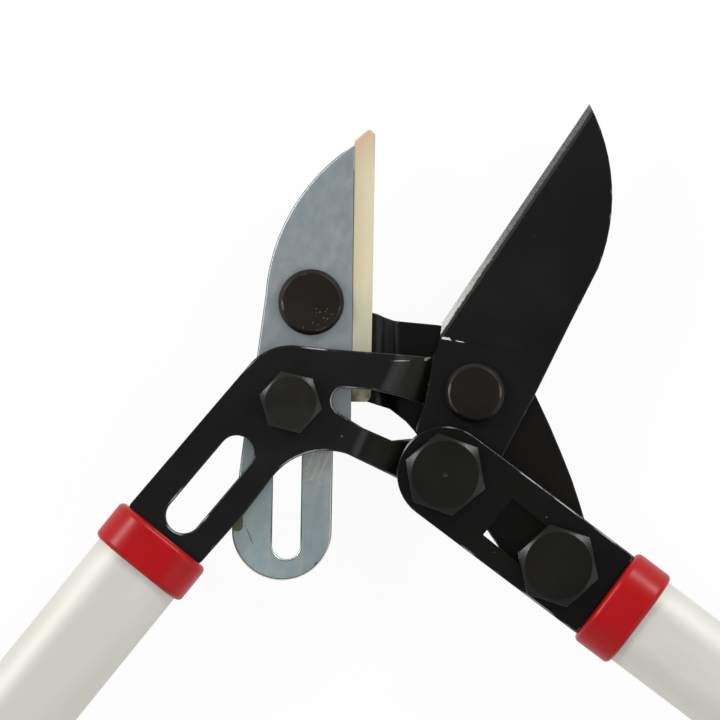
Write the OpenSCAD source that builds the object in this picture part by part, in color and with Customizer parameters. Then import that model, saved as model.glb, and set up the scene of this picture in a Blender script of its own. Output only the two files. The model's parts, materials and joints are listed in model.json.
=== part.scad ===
// Anvil lopper with a draw-cut anvil, lying flat, in millimetres.
// The origin is on the lever pivot's axis, on the surface that the tool lies on.
// +X is to the right and +Y towards the blade tip, seen from above.

/* [Linkage] */
// Guide bolt, left of the lever pivot
guide_left = 42.9; // [41:0.1:45]
// Guide bolt, below the lever pivot
guide_down = 2.1; // [0:0.1:4]
// Anvil pivot, left of the lever pivot
anvil_pivot_left = 38.2; // [37:0.1:40]
// Anvil pivot, above the lever pivot
anvil_pivot_up = 21.2; // [20:0.1:23]
// Handle pivot, left of the lever pivot
handle_pivot_left = 7; // [5:0.1:8]
// Handle pivot, below the lever pivot
handle_pivot_down = 18.9; // [17.5:0.1:20]
// Drive bolt, right of the lever pivot
drive_right = 19.3; // [18:0.1:21]
// Drive bolt, below the lever pivot
drive_down = 40.1; // [39:0.1:42]

/* [Plates] */
// Thickness of the three lever plates
plate_t = 4.2; // [3.5:0.1:4.6]
// Thickness of the blade and of the anvil plate
blade_t = 5; // [4.4:0.1:6]
// Running gap between plates that slide on each other
plate_gap = 0.3; // [0.2:0.05:0.4]
// Length of the left plate's joggle behind the blade
left_joggle = 8; // [7.5:0.1:8.6]
// Length of the anvil lever's joggle
lever_joggle = 3.7; // [3.2:0.1:4]

/* [Blade and anvil] */
// Angle of the blade's edge
blade_angle = 56; // [55:0.5:57]
// Angle of the anvil's face
anvil_angle = 89; // [88:0.5:90]
// Distance of the blade's edge from the guide bolt
edge_reach = 18.9; // [18.5:0.1:19.3]
// Distance of the heel along the edge, from the guide bolt
heel_reach = 35.2; // [34.5:0.1:36]
// Distance of the tip along the edge, from the guide bolt
tip_reach = 96.8; // [94:0.1:98]
// Width of the bare bevel at the edge
bevel_w = 2; // [1.5:0.1:3]
// Thickness of the blade where the bevel starts
bevel_t = 1.8; // [1.2:0.1:2.4]
// Thickness of the edge itself
edge_t = 0.3; // [0.2:0.05:0.5]
// Width of the ground face behind the bevel
grind_w = 22; // [18:0.5:24]
// Gap left between edge and anvil when closed
closed_gap = 0.3; // [0.2:0.05:0.5]
// Depth of the insert's tongue in the anvil plate
tongue_depth = 3; // [2:0.1:4]
// Thickness of the insert's tongue
tongue_t = 2; // [1.5:0.1:2.6]
// Width of the anvil plate's slot
slot_w = 6.6; // [6.5:0.1:7]
// Set-off of the slot to the left of the guide bolt
slot_offset = 0.6; // [0.5:0.05:0.7]
// Reach of the slot below the guide bolt
slot_down = 36.8; // [36.7:0.1:37.4]
// Reach of the slot above the guide bolt
slot_up = 4; // [3.6:0.1:5]

/* [Bolts and pins] */
// Diameter of the lever pivot pin
lever_pin_d = 8; // [7:0.1:9]
// Diameter of the lever pivot pin's heads
lever_head_d = 14; // [13:0.1:14.6]
// Height of the lever pivot pin's front head
lever_head_h = 2.8; // [2:0.1:3.2]
// Height of its back head, which the tool lies on
back_head_h = 3; // [2.5:0.1:4]
// Diameter of the handle pivot bolt
handle_bolt_d = 10; // [8:0.1:11]
// Size across flats of the two large hexagon heads
large_hex = 17; // [16:0.1:18]
// Height of the two large heads
large_head_h = 6; // [5:0.1:7]
// Size across flats of the guide bolt's head
guide_hex = 13; // [12:0.1:14]
// Height of the guide bolt's head
guide_head_h = 5; // [4:0.1:6]
// Diameter of the guide bolt in the left plate
guide_bolt_d = 8; // [7:0.1:9]
// Diameter of the guide bolt's neck in the slot
guide_neck_d = 4.8; // [4.4:0.05:4.9]
// Diameter of the guide washer
guide_washer_d = 15; // [13:0.1:16]
// Thickness of the guide washer
guide_washer_t = 1.5; // [1:0.1:2]
// Size across flats of the guide nut
guide_nut_hex = 8; // [8:0.1:10]
// Height of the guide nut
guide_nut_h = 4; // [3:0.1:4.4]
// Diameter of the drive bolt
drive_bolt_d = 7; // [6:0.1:7.2]
// Diameter of the drive spacer
drive_spacer_d = 14; // [13:0.1:15]
// Size across flats of the drive nut
drive_nut_hex = 13; // [12:0.1:14]
// Gap between the drive nut and the surface below
drive_nut_lift = 0.2; // [0.1:0.05:0.4]
// Diameter of the anvil pivot rivet
rivet_d = 9; // [8:0.1:10]
// Diameter of the anvil pivot rivet's heads
rivet_head_d = 15.4; // [14:0.1:16]
// Height of the rivet's front head
rivet_head_h = 2.8; // [2:0.1:3.4]
// Height of the rivet's back head
rivet_back_h = 1.5; // [1:0.1:2]
// Radial clearance of every pin and bolt in its bore
fit = 0.05; // [0.02:0.01:0.08]

/* [Right plate] */
// Width of the right plate
right_w = 22.4; // [21:0.1:23]
// Direction of the right handle
right_angle = -37; // [-38:0.5:-36]
// Length from the handle pivot to the right collar
right_reach = 46.9; // [46.4:0.1:50]
// Width of the window that the drive bolt slides in
window_w = 10.9; // [10.6:0.1:11.4]
// Distance of the window's inner end from the handle pivot
window_near = 15.8; // [14:0.1:17]
// Distance of the window's outer end from the handle pivot
window_far = 38.6; // [38.2:0.1:40]

/* [Handles] */
// Direction of the left handle
left_angle = 231; // [230:0.5:232]
// Length of each aluminium tube
tube_len = 560; // [480:1:640]
// Width of the tube
tube_w = 22.4; // [21:0.1:24]
// Thickness of the tube
tube_h = 15; // [13:0.1:17]
// Wall of the tube
tube_wall = 1.5; // [1.2:0.1:2]
// Width of the plates where they enter the collars
tang_shoulder_w = 20; // [18:0.1:20.6]
// Width of the tang inside the tube
tang_w = 14; // [12:0.1:15]
// Length of the tang inside the tube
tang_len = 95; // [80:1:110]
// Length of the collar
collar_len = 10; // [8:0.1:12]
// Wall of the collar
collar_wall = 1.4; // [1.2:0.1:1.6]
// Front wall of the collar
collar_front = 2; // [1.5:0.1:3]
// Diameter of the tang rivets
tang_rivet_d = 5; // [4:0.1:6]
// Diameter of the tang rivets' heads
tang_rivet_head_d = 8.4; // [7:0.1:9]
// Height of the tang rivets' heads
tang_rivet_head_h = 1.2; // [0.8:0.1:1.6]
// Length of the grip
grip_len = 150; // [120:1:180]
// Wall of the grip
grip_wall = 4; // [3:0.1:5]
// Length of the grip's flared end
flare_len = 26; // [20:1:34]
// Depth of the ribs' grooves in the grip
groove_depth = 1; // [0.6:0.1:1.4]
// Width of each groove
groove_w = 3; // [2:0.1:4]
// Spacing of the grooves
groove_pitch = 9; // [7:0.1:12]
// Length of the end cap's plug
cap_plug = 20; // [14:1:30]
// Thickness of the end cap's rim
cap_rim = 3; // [2:0.1:4]

/* [Glide pad] */
// Length of the pad under the left plate
pad_len = 5; // [4:0.1:6]
// Width of the pad
pad_w = 2.6; // [2:0.1:3]

/* [Hidden] */
$fn = 64;
// Size of one pixel of the photograph, and the lever pivot's pixel
px_mm = 0.233;
pivot_px = [475, 393];
// Angles at which the hexagon heads happen to be tightened
handle_bolt_turn = 40;
guide_bolt_turn = 47;
drive_bolt_turn = 42;
// How far a cut runs past the face that it opens
overrun = 1;
// Points on each round stretch of an outline
arc_steps = 12;

// Places of the pins, from the lever pivot
lever_pivot = [0, 0];
guide = [-guide_left, -guide_down];
anvil_pivot = [-anvil_pivot_left, anvil_pivot_up];
handle_pivot = [-handle_pivot_left, -handle_pivot_down];
drive = [drive_right, -drive_down];

// Heights of the layers, from the surface that the tool lies on
lever_deep_z = back_head_h;
lever_front_z = lever_deep_z + plate_t;
left_deep_z = lever_deep_z + plate_t + plate_gap;
blade_z = left_deep_z + plate_t;
front_z = blade_z + blade_t + plate_gap;
front_top = front_z + plate_t;
handle_z = front_z + plate_t / 2;
lever_drop = blade_z - plate_gap - plate_t - lever_deep_z;

// Outlines in pixels of the photograph
blade_spine_px = [613, 186];
blade_shoulder_px = [599, 268];
blade_back_px = [[571, 323], [537, 392], [498, 467]];
blade_base_px = [[416, 430], [425, 402], [430, 375], [433, 357], [438, 347], [441, 333]];
grind_line_px = [[430, 334], [452, 340], [517, 352], [640, 290], [700, 60], [430, 60]];
blade_root_r_px = 38;
left_collar_px = [164, 535];
left_shoulder_px = [[129, 505.3], [200.3, 563.3]];
left_outer_px = [251, 362.5];
left_corner_px = [266.7, 350.7];
left_crown_px = [293.5, 345.2];
left_top_px = [[330, 349], [395, 354], [440, 358], [475, 362]];
left_fork_px = [[475, 424], [440, 412], [403, 397], [373, 390]];
left_fork_end_px = [341, 388];
left_crotch_px = [332, 399];
left_crotch_end_px = [339, 413];
left_lower_top_px = [[363, 428], [392, 441], [447, 436]];
left_lower_px = [[447, 510], [396, 478.5]];
left_belly_start_px = [347, 454];
left_belly_px = [309, 453];
left_belly_end_px = [275, 474];
left_heel_px = [244.5, 513.5];
left_joggle_px = [393, 411];
left_slot_px = [[236.5, 453], [183.3, 516]];
left_slot_w_px = 35;
pivot_boss_px = 32;
handle_boss_px = 40;
lever_top_px = [[376, 313], [385, 317], [395, 320.5], [437, 324.5], [500, 335], [527, 372], [537, 395]];
lever_tail_px = [[551.5, 426], [563.5, 454.5], [574, 481], [582, 505.5], [588, 526], [589, 565]];
lever_inner_px = [[530, 578], [500, 549], [487, 530], [414, 431]];
lever_throat_px = [[406, 422], [390, 409.5], [370, 403], [350, 397]];
lever_bend_px = [384, 393];
lever_boss_px = 38;
lever_tail_boss_px = 30;
anvil_tip_px = [354, 144];
anvil_back_px = [291, 210];
anvil_waist_px = [265, 296];
anvil_side_px = [[257, 353], [243, 440], [231.5, 531]];
anvil_foot_px = [281.5, 531];
anvil_foot_r_px = 50;
anvil_right_px = [[331.5, 531], [333, 446], [351, 420]];
anvil_rim_px = [354, 145];
insert_nose_px = [[355, 140], [368, 129]];
insert_end_px = 402;
glide_pad_px = [237, 526];

// Place in the part's frame of a pixel of the photograph
function at(p) = [(p[0] - pivot_px[0]) * px_mm, (pivot_px[1] - p[1]) * px_mm];
function trace(list) = [for (p = list) at(p)];
function reverse(list) = [for (i = [len(list) - 1 : -1 : 0]) list[i]];
// Unit vector at an angle
function heading(a) = [cos(a), sin(a)];
// Unit vector a quarter turn clockwise from an angle
function right_of(a) = [sin(a), -cos(a)];
// Centre of the circle through three points
function centre3(a, b, c) =
    let (d = 2 * (a[0] * (b[1] - c[1]) + b[0] * (c[1] - a[1]) + c[0] * (a[1] - b[1])),
         aa = a * a, bb = b * b, cc = c * c)
    [(aa * (b[1] - c[1]) + bb * (c[1] - a[1]) + cc * (a[1] - b[1])) / d,
     (aa * (c[0] - b[0]) + bb * (a[0] - c[0]) + cc * (b[0] - a[0])) / d];
// Angle from one direction to another, between -180 and 180 degrees
function turn(from, to) =
    let (d = to - from)
    d - 360 * round(d / 360);
// Points on the circle from a through b to c
function arc3(a, b, c) =
    let (m = centre3(a, b, c), r = norm(a - m),
         start = atan2(a[1] - m[1], a[0] - m[0]),
         half = atan2(b[1] - m[1], b[0] - m[0]),
         last = atan2(c[1] - m[1], c[0] - m[0]),
         sweep = turn(start, half) + turn(half, last))
    [for (i = [0 : arc_steps]) m + r * heading(start + sweep * i / arc_steps)];

// The blade's edge, and the anvil's working face
blade_edge = guide + edge_reach * right_of(blade_angle);
blade_heel = blade_edge + heel_reach * heading(blade_angle);
blade_tip = blade_edge + tip_reach * heading(blade_angle);
anvil_face = guide + (edge_reach - closed_gap) * right_of(anvil_angle);
// A point on the anvil's face at a given height
function on_face(y) = anvil_face + heading(anvil_angle) * (y - anvil_face[1]) / sin(anvil_angle);

// Flat plate of an outline, from a height up
module sheet(points, z, t) {
    translate([0, 0, z]) linear_extrude(t) polygon(points);
}

// A round post
module post(place, z, d, h) {
    translate([place[0], place[1], z]) cylinder(d = d, h = h);
}

// A hole right through, between two heights
module hole(place, d, z, h) {
    post(place, z - overrun, d + 2 * fit, h + 2 * overrun);
}

// A hexagon prism of a size across flats, turned by an angle
module hexagon(place, z, flats, h, a) {
    translate([place[0], place[1], z]) rotate([0, 0, a])
        cylinder(d = flats / cos(30), h = h, $fn = 6);
}

// A bolt head: a hexagon with its corners turned off by a cone on top
module bolt_head(place, z, flats, h, a) {
    chamfer_h = (flats / cos(30) - flats) / 2;
    corner_d = flats / cos(30);
    intersection() {
        hexagon(place, z, flats, h, a);
        union() {
            post(place, z, corner_d + overrun, h - chamfer_h);
            translate([place[0], place[1], z + h - chamfer_h])
                cylinder(d1 = corner_d + overrun, d2 = flats - chamfer_h, h = chamfer_h);
        }
    }
}

// A round head with a bevelled rim on top, or below when turned over
module round_head(place, z, d, h) {
    rim = h / 3;
    translate([place[0], place[1], z]) rotate_extrude()
        polygon([[0, 0], [d / 2, 0], [d / 2, h - rim], [d / 2 - rim, h], [0, h]]);
}

// A side profile [along, height] of bent sheet, pulled across the heading a
module bent_sheet(place, a, profile, span) {
    translate([place[0], place[1], 0]) rotate([90, 0, a])
        translate([0, 0, -span / 2]) linear_extrude(span) polygon(profile);
}

// Profile of sheet that drops from one height to a lower one
function joggle(reach, run, high, low, t) =
    let (shift = t * tan(atan2(high - low, run) / 2) / 2)
    [[-reach, high], [-run / 2 - shift, high], [run / 2 - shift, low], [reach, low],
     [reach, low + t], [run / 2 + shift, low + t], [-run / 2 + shift, high + t], [-reach, high + t]];

// Round stretch of the blade's back, and the rest of its outline
blade_outline = concat([blade_heel], arc3(blade_tip, at(blade_spine_px), at(blade_shoulder_px)),
    trace(blade_back_px), [handle_pivot], trace(blade_base_px));
// Section across the blade, from the edge to past the back
blade_mid = blade_z + blade_t / 2;
blade_span = norm(blade_tip - handle_pivot);
blade_section = [[0, blade_mid - edge_t / 2], [bevel_w, blade_mid - bevel_t / 2],
    [grind_w, blade_z], [blade_span, blade_z], [blade_span, blade_z + blade_t],
    [grind_w, blade_z + blade_t], [bevel_w, blade_mid + bevel_t / 2], [0, blade_mid + edge_t / 2]];

module blade() {
    color("#1b1b1c") difference() {
        union() {
            intersection() {
                sheet(blade_outline, blade_z, blade_t);
                sheet(trace(grind_line_px), blade_z, blade_t);
                bent_sheet(blade_heel, blade_angle - 90, blade_section, 3 * blade_span);
            }
            difference() {
                sheet(blade_outline, blade_z, blade_t);
                sheet(trace(grind_line_px), blade_z - overrun, blade_t + 2 * overrun);
            }
            post(handle_pivot, blade_z, 2 * blade_root_r_px * px_mm, blade_t);
        }
        hole(lever_pivot, lever_pin_d, blade_z, blade_t);
        hole(handle_pivot, handle_bolt_d, blade_z, blade_t);
    }
}

// Outline of a tang, from one shoulder of the plate's end round to the other
function tang_outline(place, a) =
    let (out = heading(a), across = right_of(a), neck = place + collar_front * out,
         end = neck + tang_len * out)
    [place + across * tang_shoulder_w / 2, neck + across * tang_shoulder_w / 2, neck + across * tang_w / 2,
     end + across * tang_w / 2, end - across * tang_w / 2,
     neck - across * tang_w / 2, neck - across * tang_shoulder_w / 2, place - across * tang_shoulder_w / 2];

// Holes for the rivets that hold a tang in its tube
module tang_holes(place, a) {
    for (x = tang_rivet_places) hole(place + x * heading(a), tang_rivet_d, front_z, plate_t);
}

// The left plate's end at the collar, on the handle's axis
left_end = at(left_collar_px);
left_outline = concat([at(left_shoulder_px[0])],
    arc3(at(left_outer_px), at(left_corner_px), at(left_crown_px)),
    trace(left_top_px), trace(left_fork_px),
    arc3(at(left_fork_end_px), at(left_crotch_px), at(left_crotch_end_px)), trace(left_lower_top_px),
    trace(left_lower_px), arc3(at(left_belly_start_px), at(left_belly_px), at(left_belly_end_px)),
    [at(left_heel_px), at(left_shoulder_px[1])], reverse(tang_outline(left_end, left_angle)));
plate_span = norm(left_end) + tang_len;

module left_plate() {
    fork_a = atan2(handle_pivot[1] - guide[1], handle_pivot[0] - guide[0]);
    slot_a = at(left_slot_px[0]);
    slot_b = at(left_slot_px[1]);
    slot_d = left_slot_w_px * px_mm;
    slot_turn = atan2(slot_b[1] - slot_a[1], slot_b[0] - slot_a[0]);
    slot_mid = (slot_a + slot_b) / 2;
    color("#202021") difference() {
        intersection() {
            union() {
                sheet(left_outline, 0, front_top + overrun);
                post(lever_pivot, 0, 2 * pivot_boss_px * px_mm, front_top + overrun);
                post(handle_pivot, 0, 2 * handle_boss_px * px_mm, front_top + overrun);
            }
            bent_sheet(at(left_joggle_px), fork_a,
                joggle(plate_span, left_joggle, front_z, left_deep_z, plate_t), 2 * plate_span);
        }
        tang_holes(left_end, left_angle);
        hole(lever_pivot, lever_pin_d, left_deep_z, plate_t);
        hole(handle_pivot, handle_bolt_d, left_deep_z, plate_t);
        hole(guide, guide_bolt_d, front_z, plate_t);
        translate([slot_mid[0], slot_mid[1], front_z - overrun]) rotate([0, 0, slot_turn])
            linear_extrude(plate_t + 2 * overrun) oval(norm(slot_b - slot_a) + slot_d, slot_d);
    }
}

module lever_pivot_pin() {
    rim = lever_head_h / 3;
    head_z = blade_z + blade_t;
    color("#262324") translate([lever_pivot[0], lever_pivot[1], 0]) rotate_extrude()
        polygon([[0, back_head_h / 2], [lever_pin_d / 2, back_head_h / 2], [lever_pin_d / 2, head_z],
            [lever_head_d / 2, head_z], [lever_head_d / 2, head_z + lever_head_h - rim],
            [lever_head_d / 2 - rim, head_z + lever_head_h], [0, head_z + lever_head_h]]);
}

module lever_pivot_back_head() {
    color("#262324") difference() {
        post(lever_pivot, 0, lever_head_d, back_head_h - 2 * fit);
        post(lever_pivot, back_head_h / 2 - fit, lever_pin_d + 2 * fit, back_head_h);
    }
}

module handle_pivot_bolt() {
    color("#1d1d1e") {
        post(handle_pivot, left_deep_z, handle_bolt_d, front_top + plate_gap - left_deep_z);
        bolt_head(handle_pivot, front_top + plate_gap, large_hex, large_head_h, handle_bolt_turn);
    }
}

// Height of the guide washer's lower face
guide_washer_z = blade_z - plate_gap - guide_washer_t;

module guide_bolt() {
    color("#1d1d1e") {
        post(guide, front_z, guide_bolt_d, plate_t);
        bolt_head(guide, front_top, guide_hex, guide_head_h, guide_bolt_turn);
        post(guide, guide_washer_z - guide_nut_h, guide_neck_d, front_z - guide_washer_z + guide_nut_h);
    }
}

module guide_washer() {
    color("#9a9c9e") difference() {
        post(guide, guide_washer_z, guide_washer_d, guide_washer_t);
        hole(guide, guide_neck_d, guide_washer_z, guide_washer_t);
    }
}

module guide_nut() {
    color("#8d8f91") difference() {
        hexagon(guide, guide_washer_z - guide_nut_h, guide_nut_hex, guide_nut_h, 0);
        hole(guide, guide_neck_d, guide_washer_z - guide_nut_h, guide_nut_h);
    }
}

module glide_pad() {
    place = at(glide_pad_px);
    pad_t = plate_gap - fit;
    color("#6f6a35") translate([place[0], place[1], front_z - pad_t]) rotate([0, 0, anvil_angle + 180]) {
        translate([-pad_len, -pad_w / 2, 0]) cube([pad_len, pad_w, pad_t]);
        cylinder(d = pad_w, h = pad_t);
    }
}

// Flat oval of a width and a height, in the plane across a handle
module oval(w, h) {
    for (side = [-1, 1]) translate([side * (w - h) / 2, 0]) circle(d = h);
    if (w > h) square([w - h, h], center = true);
}

// A length of oval bar along a handle, from a place on its axis
module oval_bar(x, length, w, h) {
    translate([x, 0, 0]) rotate([90, 0, 90]) linear_extrude(length) oval(w, h);
}

// Sets what follows on a handle's axis, which runs out along +X from the plate's end
module on_handle(place, a) {
    translate([place[0], place[1], handle_z]) rotate([0, 0, a]) children();
}

tube_start = collar_front;
tube_end = tube_start + tube_len;
tube_bore_w = tube_w - 2 * tube_wall;
tube_bore_h = tube_h - 2 * tube_wall;
sleeve_len = tang_len + tang_rivet_d;
tang_rivet_places = [collar_front + tang_len * 2 / 3, collar_front + tang_len - 2 * tang_rivet_d];
grip_start = tube_end - grip_len;
grip_w = tube_w + 2 * grip_wall;
grip_h = tube_h + 2 * grip_wall;
flare_h = 2 * handle_z;
flare_w = flare_h;

module handle_collar() {
    color("#b01220") difference() {
        oval_bar(0, collar_len, tube_w + 2 * collar_wall, tube_h + 2 * collar_wall);
        oval_bar(collar_front, collar_len, tube_w + 2 * fit, tube_h + 2 * fit);
        translate([-overrun, -tang_shoulder_w / 2 - fit, -plate_t / 2 - fit])
            cube([collar_front + 2 * overrun, tang_shoulder_w + 2 * fit, plate_t + 2 * fit]);
    }
}

module handle_tube() {
    color("#d9dad9") difference() {
        oval_bar(tube_start, tube_len, tube_w, tube_h);
        oval_bar(tube_start - overrun, tube_len + 2 * overrun, tube_bore_w, tube_bore_h);
        for (x = tang_rivet_places) hole([x, 0], tang_rivet_d, -tube_h / 2, tube_h);
    }
}

module handle_sleeve() {
    color("#3a3a3c") difference() {
        oval_bar(tube_start, sleeve_len, tube_bore_w - 2 * fit, tube_bore_h - 2 * fit);
        translate([tube_start - overrun, -tang_w / 2 - fit, -plate_t / 2 - fit])
            cube([tang_len + 2 * overrun, tang_w + 2 * fit, plate_t + 2 * fit]);
        for (x = tang_rivet_places) hole([x, 0], tang_rivet_d, -tube_h / 2, tube_h);
    }
}

module handle_rivets() {
    color("#b9bab8") for (x = tang_rivet_places) {
        post([x, 0], -tube_h / 2, tang_rivet_d, tube_h);
        round_head([x, 0], tube_h / 2, tang_rivet_head_d, tang_rivet_head_h);
        rotate([180, 0, 0]) round_head([x, 0], tube_h / 2, tang_rivet_head_d, tang_rivet_head_h);
    }
}

module handle_grip() {
    grooves = floor((grip_len - flare_len - 2 * groove_pitch) / groove_pitch);
    color("#1f1f20") difference() {
        union() {
            oval_bar(grip_start, grip_len - flare_len, grip_w, grip_h);
            hull() {
                oval_bar(tube_end - flare_len, overrun, grip_w, grip_h, $fn = 32);
                oval_bar(tube_end - flare_len / 3, overrun, flare_w, flare_h, $fn = 32);
            }
            oval_bar(tube_end - flare_len / 3, flare_len / 3, flare_w, flare_h);
        }
        oval_bar(grip_start - overrun, grip_len + 2 * overrun, tube_w + 2 * fit, tube_h + 2 * fit);
        for (i = [1 : grooves]) difference() {
            oval_bar(grip_start + i * groove_pitch, groove_w, grip_w + overrun, grip_h + overrun);
            oval_bar(grip_start + i * groove_pitch - overrun, groove_w + 2 * overrun,
                grip_w - 2 * groove_depth, grip_h - 2 * groove_depth);
        }
    }
}

module handle_cap() {
    color("#b01220") {
        oval_bar(tube_end - cap_plug, cap_plug, tube_bore_w - 2 * fit, tube_bore_h - 2 * fit);
        oval_bar(tube_end, cap_rim, tube_w + grip_wall, tube_h + grip_wall);
    }
}

module left_collar() { on_handle(left_end, left_angle) handle_collar(); }
module left_tube() { on_handle(left_end, left_angle) handle_tube(); }
module left_tang_sleeve() { on_handle(left_end, left_angle) handle_sleeve(); }
module left_tang_rivets() { on_handle(left_end, left_angle) handle_rivets(); }
module left_grip() { on_handle(left_end, left_angle) handle_grip(); }
module left_end_cap() { on_handle(left_end, left_angle) handle_cap(); }

// The right plate's end at the collar, and the angle of its window
right_end = handle_pivot + right_reach * heading(right_angle);
window_angle = atan2(drive[1] - handle_pivot[1], drive[0] - handle_pivot[0]);

right_outline = let (side = right_of(right_angle) * right_w / 2,
        shoulder = handle_pivot + (right_reach - fit) * heading(right_angle))
    concat([for (i = [0 : 2 * arc_steps])
            handle_pivot + right_w / 2 * heading(right_angle + 90 + 180 * i / (2 * arc_steps))],
        [shoulder + side], tang_outline(right_end, right_angle), [shoulder - side]);

module right_plate() {
    color("#202021") difference() {
        sheet(right_outline, front_z, plate_t);
        tang_holes(right_end, right_angle);
        hole(handle_pivot, handle_bolt_d, front_z, plate_t);
        translate([handle_pivot[0], handle_pivot[1], front_z - overrun]) rotate([0, 0, window_angle])
            translate([window_near, -window_w / 2, 0])
                cube([window_far - window_near, window_w, plate_t + 2 * overrun]);
    }
}

module right_collar() { on_handle(right_end, right_angle) handle_collar(); }
module right_tube() { on_handle(right_end, right_angle) handle_tube(); }
module right_tang_sleeve() { on_handle(right_end, right_angle) handle_sleeve(); }
module right_tang_rivets() { on_handle(right_end, right_angle) handle_rivets(); }
module right_grip() { on_handle(right_end, right_angle) handle_grip(); }
module right_end_cap() { on_handle(right_end, right_angle) handle_cap(); }

lever_outline = concat([anvil_pivot], trace(lever_top_px), trace(lever_tail_px), [drive],
    trace(lever_inner_px), trace(lever_throat_px));

module anvil_lever() {
    lever_span = norm(drive - anvil_pivot);
    color("#1c1c1d") difference() {
        intersection() {
            union() {
                sheet(lever_outline, 0, front_z);
                post(anvil_pivot, 0, 2 * lever_boss_px * px_mm, front_z);
                post(drive, 0, 2 * lever_tail_boss_px * px_mm, front_z);
            }
            bent_sheet(at(lever_bend_px), 0,
                joggle(2 * lever_span, lever_joggle, lever_deep_z + lever_drop, lever_deep_z, plate_t),
                4 * lever_span);
        }
        hole(lever_pivot, lever_pin_d, lever_deep_z, plate_t);
        hole(drive, drive_bolt_d, lever_deep_z, plate_t);
        hole(anvil_pivot, rivet_d, lever_deep_z + lever_drop, plate_t);
    }
}

module anvil_pivot_rivet() {
    back_z = lever_deep_z + lever_drop;
    color("#2a2423") {
        post(anvil_pivot, back_z - rivet_back_h / 2, rivet_d, blade_z + blade_t + rivet_head_h / 2 - back_z);
        round_head(anvil_pivot, blade_z + blade_t + fit, rivet_head_d, rivet_head_h);
        post(anvil_pivot, back_z - rivet_back_h, rivet_head_d, rivet_back_h);
    }
}

module drive_bolt() {
    color("#1d1d1e") {
        post(drive, drive_nut_lift, drive_bolt_d, front_top + plate_gap - drive_nut_lift);
        bolt_head(drive, front_top + plate_gap, large_hex, large_head_h, drive_bolt_turn);
    }
}

module drive_spacer() {
    color("#777a7c") difference() {
        post(drive, lever_front_z, drive_spacer_d, front_z - plate_gap - lever_front_z);
        hole(drive, drive_bolt_d, lever_front_z, front_z - lever_front_z);
    }
}

module drive_nut() {
    color("#8d8f91") difference() {
        hexagon(drive, drive_nut_lift, drive_nut_hex, lever_deep_z - drive_nut_lift, 0);
        hole(drive, drive_bolt_d, drive_nut_lift, lever_deep_z);
    }
}

// Edge between the anvil plate and its insert
rim_top = at(anvil_rim_px);
rim_low = at(anvil_right_px[2]);
anvil_outline = concat(arc3(at(anvil_tip_px), at(anvil_back_px), at(anvil_waist_px)),
    trace(anvil_side_px), trace(anvil_right_px), [rim_top]);

// The insert's foot, on the same edge
rim_slope = (rim_top[0] - rim_low[0]) / (rim_top[1] - rim_low[1]);
insert_end = at([0, insert_end_px])[1];
insert_low = [rim_low[0] + rim_slope * (insert_end - rim_low[1]), insert_end];

// The strip that the insert's tongue fills, widened by a clearance, which laps past the edge
module tongue(clearance) {
    top = rim_top - [0, 2 * tongue_depth - clearance];
    low = insert_low - [0, clearance];
    inward = [tongue_depth + clearance, 0];
    lap = [tongue_t / 2, 0];
    translate([0, 0, blade_mid - tongue_t / 2 - clearance]) linear_extrude(tongue_t + 2 * clearance)
        polygon([low - inward, top - inward, top + lap, low + lap]);
}

module anvil_plate() {
    foot = at(anvil_foot_px);
    slot_mid = guide - slot_offset * right_of(anvil_angle)
        + (slot_up - slot_down) / 2 * heading(anvil_angle);
    color("#aab4ba") difference() {
        union() {
            sheet(anvil_outline, blade_z, blade_t);
            post(foot, blade_z, 2 * anvil_foot_r_px * px_mm, blade_t);
        }
        tongue(fit);
        hole(anvil_pivot, rivet_d, blade_z, blade_t);
        translate([slot_mid[0], slot_mid[1], blade_z - overrun]) rotate([0, 0, anvil_angle])
            linear_extrude(blade_t + 2 * overrun) oval(slot_up + slot_down, slot_w);
    }
}

module anvil_insert() {
    low = insert_low + [fit, 0];
    top = rim_top + [fit, 0];
    corner = bevel_w / 2;
    nose = at(insert_nose_px[1]);
    face_low = on_face(low[1]);
    color("#ddd3ae") union() {
        sheet(concat([low, face_low - [corner, 0], on_face(low[1] + corner)],
            [on_face(nose[1] - corner), on_face(nose[1]) - [corner, 0]],
            [nose, at(insert_nose_px[0]), top]), blade_z, blade_t);
        tongue(0);
    }
}

blade();
left_plate();
lever_pivot_pin();
lever_pivot_back_head();
handle_pivot_bolt();
guide_bolt();
guide_washer();
guide_nut();
glide_pad();
left_collar();
left_tube();
left_tang_sleeve();
left_tang_rivets();
left_grip();
left_end_cap();
right_plate();
right_collar();
right_tube();
right_tang_sleeve();
right_tang_rivets();
right_grip();
right_end_cap();
anvil_lever();
anvil_pivot_rivet();
drive_bolt();
drive_spacer();
drive_nut();
anvil_plate();
anvil_insert();
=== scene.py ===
# %% [markdown]
# # An anvil lopper, dressed for the camera
# The shapes come from a fixed frame of machined solids. This lesson gives each solid the rounded edges
# and the finish that the real tool has. We load the frame first.

# %% Load the frame
import json
import math

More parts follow.
